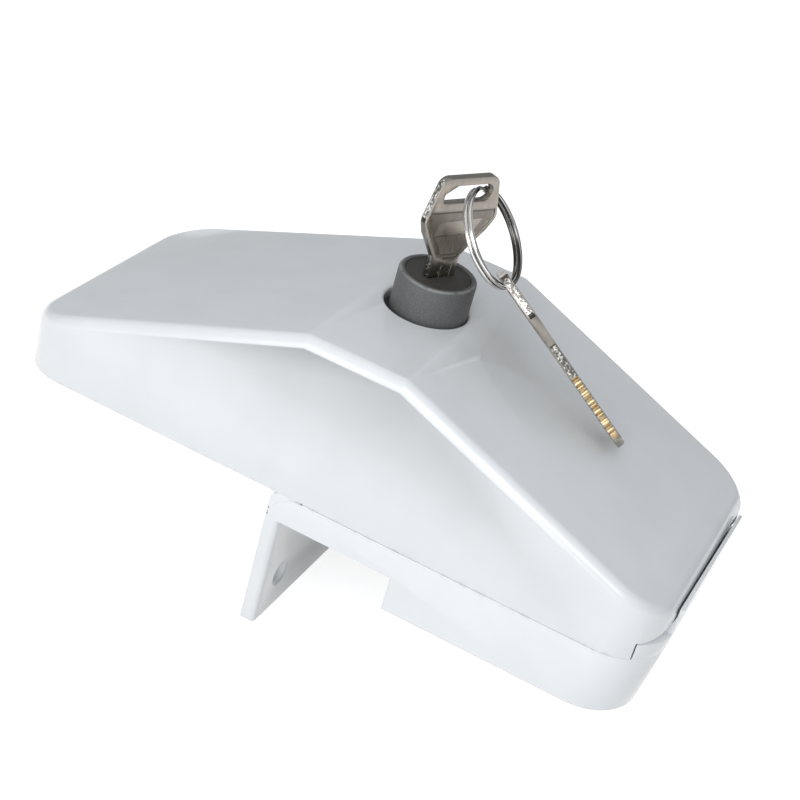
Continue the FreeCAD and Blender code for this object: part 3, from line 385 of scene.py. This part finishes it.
# Pieces made in the scene. Each one stands at the origin with its place in its mesh.
class Shape(Sheet):  # a Geometry Nodes tree with named inputs
    def __init__(self, name, **inputs):
        self.tree = bpy.data.node_groups.new(name, "GeometryNodeTree")
        sockets = self.tree.interface
        sockets.new_socket("Geometry", in_out="INPUT", socket_type="NodeSocketGeometry")
        for label, kind in dict(inputs, material="Material").items():
            sockets.new_socket(label, in_out="INPUT", socket_type="NodeSocket" + kind)
        sockets.new_socket("Geometry", in_out="OUTPUT", socket_type="NodeSocketGeometry")
        self.start = self.tree.nodes.new("NodeGroupInput")
        entries = [item for item in sockets.items_tree if item.in_out == "INPUT"]
        self.identifiers = {item.name: item.identifier for item in entries}

    def given(self, label):
        return Wire(self, self.start.outputs[label])

    def point(self, x=0.0, y=0.0, z=0.0):
        return self.add("ShaderNodeCombineXYZ", {}, x, y, z)

    def moved(self, geometry, **where):
        return self.add("GeometryNodeTransform", {}, geometry, **where)

    def tube(self, curve, radius, sides):
        ringProfile = self.add("GeometryNodeCurvePrimitiveCircle", {}, Resolution=sides, Radius=radius)
        return self.add("GeometryNodeCurveToMesh", {}, Curve=curve, Profile_Curve=ringProfile, Fill_Caps=True)

    def ends(self, geometry):
        real = self.add("GeometryNodeRealizeInstances", {}, geometry)
        painted = self.add("GeometryNodeSetMaterial", {}, Geometry=real, Material=self.given("material"))
        self.tree.links.new(painted.socket, self.tree.nodes.new("NodeGroupOutput").inputs[0])

    def made(self, name, material, mesh=None, **values):
        piece = newPiece(name, mesh or bpy.data.meshes.new(name))
        modifier = piece.modifiers.new("shape", "NODES")
        modifier.node_group = self.tree
        for label, value in dict(values, material=material).items():
            modifier[self.identifiers[label]] = value
        return plainMesh(piece)


def newPiece(name, content):
    piece = bpy.data.objects.new(name, content)
    bpy.context.scene.collection.objects.link(piece)
    return piece


def plainMesh(piece, smoothAngle=35):  # the modifiers' result becomes the piece's own mesh
    evaluated = piece.evaluated_get(bpy.context.evaluated_depsgraph_get())
    piece.data = bpy.data.meshes.new_from_object(evaluated)
    piece.modifiers.clear()
    piece.data.shade_smooth()
    piece.data.set_sharp_from_angle(angle=math.radians(smoothAngle))
    return piece


def putDown(piece, matrix):
    piece.data.transform(matrix)
    return piece


def prismMesh(name, corners, front, back):  # an outline in x and z, in mm, between two values of y
    work = bmesh.new()
    for y in (front, back):
        for x, z in corners:
            work.verts.new((x * mm, y * mm, z * mm))
    work.verts.ensure_lookup_table()
    count = len(corners)
    work.faces.new([work.verts[at] for at in range(count)])
    work.faces.new([work.verts[count + at] for at in reversed(range(count))])
    for at in range(count):
        after = (at + 1) % count
        work.faces.new([work.verts[at], work.verts[count + at], work.verts[count + after], work.verts[after]])
    bmesh.ops.recalc_face_normals(work, faces=work.faces)
    mesh = bpy.data.meshes.new(name)
    work.to_mesh(mesh)
    work.free()
    return mesh


# Castings and keys with softened edges, each a merged copy of its CAD node.
softEdges = {
    # node: (body, rounding in mm, material slot)
    "cover_shell": ("cover", 0.3, "white_coat"),
    "base_body": ("base", 0.6, "white_coat"),
    "hinge_leaf": ("base", 0.25, "white_coat"),
    "lock_sleeve": ("push_cylinder", 0.15, "cast_zinc"),
    "plug_face": ("plug", 0.15, "cast_zinc"),
    "key": ("door_key", 0.2, "nickel"),
    "spare_key": ("second_key", 0.2, "nickel"),
}


def softened(name, width):
    work = bmesh.new()
    work.from_mesh(nodes[name].data)
    bmesh.ops.remove_doubles(work, verts=work.verts, dist=2e-6)
    bmesh.ops.dissolve_limit(work, angle_limit=math.radians(0.4), verts=work.verts, edges=work.edges)
    mesh = bpy.data.meshes.new(name + "Soft")
    work.to_mesh(mesh)
    work.free()
    piece = newPiece(name + "Soft", mesh)
    bevel = piece.modifiers.new("softEdges", "BEVEL")
    bevel.width, bevel.segments = width * mm, 2
    bevel.limit_method, bevel.angle_limit = "ANGLE", math.radians(38)
    bevel.use_clamp_overlap = True
    plainMesh(piece)
    piece.data.materials.clear()
    piece.data.materials.append(finishOf[name])
    return piece


for name, (body, width, slotName) in softEdges.items():
    piece = softened(name, width)
    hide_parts(name)
    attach(piece, body)
    print("softened", name, len(piece.data.polygons))

# The key ring: two touching turns of wire, its ends and its step behind the key's bow.
splitRing = {
    "radius": 13.25,      # mm
    "wire": 1.28,
    "pitch": 1.3,
    "firstTurn": 84.0,    # degrees
    "sweep": 702.0,
    "heading": 2.66,
    "lean": 51.46,
    "points": 260,
}


def makeSplitRing(settings):
    shape = Shape("splitRing", radius="Float", wire="Float", pitch="Float", firstTurn="Float", sweep="Float",
                  points="Int")
    line = shape.add("GeometryNodeMeshLine", {}, Count=shape.given("points"))
    share = shape.add("GeometryNodeInputIndex", {}) / (shape.given("points") - 1)
    turn = shape.given("firstTurn") + share * shape.given("sweep")
    side = shape.span(share, 0.475, 0.525, -0.5, 0.5) * shape.given("pitch")
    where = shape.point(shape.given("radius") * turn.maths("COSINE", turn),
                        shape.given("radius") * turn.maths("SINE", turn), side)
    placed = shape.add("GeometryNodeSetPosition", {}, line, Position=where)
    path = shape.add("GeometryNodeMeshToCurve", {}, placed)
    shape.ends(shape.tube(path, shape.given("wire") / 2, 18))
    lengths = {key: settings[key] * mm for key in ("radius", "wire", "pitch")}
    turns = {key: math.radians(settings[key]) for key in ("firstTurn", "sweep")}
    piece = shape.made("splitRing", ringSteel, points=settings["points"], **lengths, **turns)
    heading, lean = math.radians(settings["heading"]), math.radians(settings["lean"])
    facing = Vector((math.sin(lean) * math.cos(heading), math.sin(lean) * math.sin(heading), math.cos(lean)))
    level = Vector((-math.sin(heading), math.cos(heading), 0))
    frameOf = Matrix((level, facing.cross(level), facing)).transposed().to_4x4()
    return putDown(piece, Matrix.Translation(Vector(ringCentre) * mm) @ frameOf)


ring = makeSplitRing(splitRing)
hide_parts("key_ring")
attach(ring, "ring")
print("split ring", len(ring.data.polygons))

# Countersunk screws with a cross recess and a thread.
screws = {
    "screwSizes": {"strike": (3.0, 6.0), "leaf": (4.0, 11.5), "housing": (4.0, 12.5)},
    # shares of the diameter
    "core": 0.42,
    "neck": 0.45,
    "headDepth": 0.5,
    "threadPitch": 0.22,
    "threadWire": 0.075,
    "recess": ((1.05, 0.19, 0.56), (0.19, 1.05, 0.56), (0.42, 0.42, 0.7)),
    "places": {
        # node: (kind, body, x, y, z of the head's flat, head down)
        "strike_screw_1": ("strike", "base", lockX, -13.0, 19.0, False),
        "strike_screw_2": ("strike", "base", lockX, 13.0, 19.0, False),
        "leaf_screw_1": ("leaf", "base", 23.3, -13.0, 21.5, False),
        "leaf_screw_2": ("leaf", "base", 23.3, 13.0, 21.5, False),
        "housing_screw_1": ("housing", "cover", lockX, 18.5, 36.5, True),
        "housing_screw_2": ("housing", "cover", -74.3215, -9.25, 36.5, True),
        "housing_screw_3": ("housing", "cover", -42.2785, -9.25, 36.5, True),
    },
}


def screwShape(settings):
    shape = Shape("countersunkScrew", diameter="Float", grip="Float")
    wide, grip = shape.given("diameter"), shape.given("grip")
    core, neck, headDepth = wide * settings["core"], wide * settings["neck"], settings["headDepth"]
    head = shape.add("GeometryNodeMeshCone", {}, Vertices=36, Radius_Top=wide, Radius_Bottom=neck,
                     Depth=wide * headDepth)
    head = shape.moved(head, Translation=shape.point(z=wide * -headDepth))
    slots = [shape.add("GeometryNodeMeshCube", {}, Size=shape.point(*(wide * part for part in size)))
             for size in settings["recess"]]
    head = shape.add("GeometryNodeMeshBoolean", {"operation": "DIFFERENCE", "solver": "EXACT"}, head, slots)
    shank = shape.add("GeometryNodeMeshCylinder", {}, Vertices=24, Radius=core, Depth=grip - neck)
    shank = shape.moved(shank, Translation=shape.point(z=(grip + neck) * -0.5))
    turnsOfThread = (grip - wide * 0.6) / (wide * settings["threadPitch"])
    thread = shape.add("GeometryNodeCurveSpiral", {}, Resolution=20, Rotations=turnsOfThread,
                       Start_Radius=core, End_Radius=core, Height=grip - wide * 0.65)
    thread = shape.tube(thread, wide * settings["threadWire"], 5)
    thread = shape.moved(thread, Translation=shape.point(z=grip * -1 + wide * 0.08))
    shape.ends(shape.add("GeometryNodeJoinGeometry", {}, [head, shank, thread]))
    return shape


screwTree = screwShape(screws)
for name, (kind, body, x, y, z, headDown) in screws["places"].items():
    diameter, grip = screws["screwSizes"][kind]
    piece = screwTree.made(name + "Dressed", plainSteel, diameter=diameter * mm, grip=grip * mm)
    twist = Matrix.Rotation(math.radians(23 * x + 41 * y), 4, "Z")
    turned = Matrix.Rotation(math.pi, 4, "X") if headDown else Matrix()
    putDown(piece, Matrix.Translation(Vector((x, y, z)) * mm) @ turned @ twist)
    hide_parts(name)
    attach(piece, body)
print("screws", len(screws["places"]))

# The relief on the keys' bows: hatching in the sunk panel and a bare plate across it.
bowRelief = {
    "floor": 0.82,        # mm, middle of the key to just under the panel's floor
    "hatchTop": 1.0,
    "plateTop": 1.08,
    "hatchPitch": 0.52,
    "hatchWidth": 0.26,
    "hatchCount": 90,
    "lower": [(-2.1, 6.3), (3.0, 6.3), (8.0, 11.7), (-6.0, 11.7)],
    "lowerLean": -14.0,   # degrees
    "upper": [(-6.3, 12.1), (8.6, 12.1), (12.0, 16.4), (11.6, 18.4), (-8.6, 18.4), (-9.0, 16.4)],
    "upperLean": 28.0,
    "plate": [(-6.0, 12.1), (6.3, 12.4), (8.8, 16.3), (-5.4, 15.9)],
}


def hatchShape(settings):
    shape = Shape("hatching", pitch="Float", width="Float", lean="Float", count="Int")
    pitch = shape.given("pitch")
    start = shape.point(x=pitch * (settings["hatchCount"] / -2))
    line = shape.add("GeometryNodeMeshLine", {}, Count=shape.given("count"), Start_Location=start,
                     Offset=shape.point(x=pitch))
    ridge = shape.add("GeometryNodeMeshCube", {}, Size=shape.point(shape.given("width"), 0.004, 0.08))
    lean = shape.point(y=shape.given("lean"))
    rows = shape.add("GeometryNodeInstanceOnPoints", {}, line, Instance=ridge, Rotation=lean)
    rows = shape.add("GeometryNodeRealizeInstances", {}, rows)
    shape.ends(shape.add("GeometryNodeMeshBoolean", {"operation": "INTERSECT", "solver": "EXACT"},
                         Mesh_2=[shape.given("Geometry"), rows]))
    return shape


hatchTree = hatchShape(bowRelief)


def makeRelief(name, metal, turnSettings, settings):
    fronts = []
    for region in ("lower", "upper"):
        outlineMesh = prismMesh(region, settings[region], -settings["hatchTop"], -settings["floor"])
        fronts.append(hatchTree.made(
            region + "Hatch", metal, outlineMesh,
            pitch=settings["hatchPitch"] * mm, width=settings["hatchWidth"] * mm,
            lean=math.radians(settings[region + "Lean"]), count=settings["hatchCount"]))
    plateMesh = prismMesh("plate", settings["plate"], -settings["plateTop"], -settings["floor"])
    fronts.append(newPiece("plate", plateMesh))
    work = bmesh.new()
    for front in fronts:
        work.from_mesh(front.data)
        bpy.data.objects.remove(front)
    backs = bmesh.ops.duplicate(work, geom=work.verts[:] + work.edges[:] + work.faces[:])["geom"]
    for element in backs:
        if isinstance(element, bmesh.types.BMVert):
            element.co.y = -element.co.y
    backFaces = [element for element in backs if isinstance(element, bmesh.types.BMFace)]
    bmesh.ops.reverse_faces(work, faces=backFaces)
    mesh = bpy.data.meshes.new(name)
    work.to_mesh(mesh)
    work.free()
    mesh.materials.append(metal)
    piece = newPiece(name, mesh)
    place = Matrix.Translation(Vector(turnSettings["origin"]) * mm)
    return putDown(piece, place @ turnOf(turnSettings).to_4x4())


for name, metal, turnSettings, body in (("keyRelief", keyMetal, keyTurn, "door_key"),
                                        ("spareKeyRelief", spareMetal, spareTurn, "second_key")):
    piece = makeRelief(name, metal, turnSettings, bowRelief)
    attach(piece, body)
    print(name, len(piece.data.polygons))


# The studio: floor, lights and camera.

studio = {
    "floorZ": -24.6,      # mm, the flange's lower edge
    "floorSize": 6.0,     # m
    "floorColour": colour(0.66, 0.66, 0.66),
    "floorGlow": 0.75,
    "skyColour": colour(0.94, 0.97, 1.0),
    "worldStrength": 0.38,
    "lamps": [
        # name, place in mm, aim in mm, width, height in mm, watts
        ("front", (-230, -900, 260), (-60, 0, 20), 700, 500, 3.0),
        ("fill", (110, -600, 460), (-40, 0, 20), 400, 400, 1.55),
        ("above", (-250, -120, 900), (-60, 0, 20), 1300, 1300, 2.15),
        ("right", (650, -350, 350), (0, 0, 20), 300, 500, 0.12),
    ],
}


def makeFloor(settings):
    half = settings["floorSize"] / 2
    floorMesh = bpy.data.meshes.new("floor")
    level = settings["floorZ"] * mm
    corners = [(x * half, y * half, level) for x, y in ((-1, -1), (1, -1), (1, 1), (-1, 1))]
    floorMesh.from_pydata(corners, [], [(0, 1, 2, 3)])
    floor = newPiece("floor", floorMesh)
    paper = Finish("floorPaper", Roughness=0.9)
    paper.shader.inputs["Base Color"].default_value = settings["floorColour"]
    rays = paper.add("ShaderNodeLightPath", {}).socket.node
    seen = Wire(paper, rays.outputs["Is Camera Ray"])
    mirrored = Wire(paper, rays.outputs["Is Glossy Ray"])
    bright = paper.add("ShaderNodeEmission", {}, Color=colour(1, 1, 1), Strength=settings["floorGlow"])
    both = paper.add("ShaderNodeAddShader", {}, Wire(paper, paper.shader.outputs[0]), bright)
    choice = paper.add("ShaderNodeMixShader", {}, seen.maths("MAXIMUM", seen, mirrored),
                       Wire(paper, paper.shader.outputs[0]), both)
    paper.tree.links.new(choice.socket, paper.tree.nodes["Material Output"].inputs["Surface"])
    floorMesh.materials.append(paper.material)


def makeLights(settings):
    world = bpy.data.worlds.new("studio")
    bpy.context.scene.world = world
    world.use_nodes = True
    tree = world.node_tree
    sky = tree.nodes["Background"]
    sky.inputs["Color"].default_value = settings["skyColour"]
    sky.inputs["Strength"].default_value = settings["worldStrength"]
    whiteSky = tree.nodes.new("ShaderNodeBackground")
    whiteSky.inputs["Color"].default_value = (1, 1, 1, 1)
    rays = tree.nodes.new("ShaderNodeLightPath")
    choice = tree.nodes.new("ShaderNodeMixShader")
    tree.links.new(rays.outputs["Is Camera Ray"], choice.inputs[0])
    tree.links.new(sky.outputs[0], choice.inputs[1])
    tree.links.new(whiteSky.outputs[0], choice.inputs[2])
    tree.links.new(choice.outputs[0], tree.nodes["World Output"].inputs["Surface"])
    for name, place, aim, width, height, watts in settings["lamps"]:
        lamp = bpy.data.lights.new(name, "AREA")
        lamp.shape = "RECTANGLE"
        lamp.size, lamp.size_y, lamp.energy = width * mm, height * mm, watts
        lampObject = newPiece(name, lamp)
        away = (Vector(aim) - Vector(place)).to_track_quat("-Z", "Y")
        lampObject.matrix_world = Matrix.Translation(Vector(place) * mm) @ away.to_matrix().to_4x4()


view = {
    # solved from the edges in the photograph
    "lens": 79.584,
    "sensorWidth": 36,
    "clip": (0.01, 20),   # m
    "place": (
        (0.873053, -0.411245, 0.262022, 0.068253),
        (0.424154, 0.375370, -0.824130, -0.399533),
        (0.240565, 0.830647, 0.502149, 0.278752),
        (0, 0, 0, 1),
    ),
}


def makeCamera(settings):
    lens = bpy.data.cameras.new("camera")
    lens.lens = settings["lens"]
    lens.sensor_width = settings["sensorWidth"]
    lens.clip_start, lens.clip_end = settings["clip"]
    camera = newPiece("camera", lens)
    camera.matrix_world = Matrix(settings["place"])
    bpy.context.scene.camera = camera


makeFloor(studio)
makeLights(studio)
makeCamera(view)
bpy.context.scene.view_settings.view_transform = "Standard"
print("studio ready")
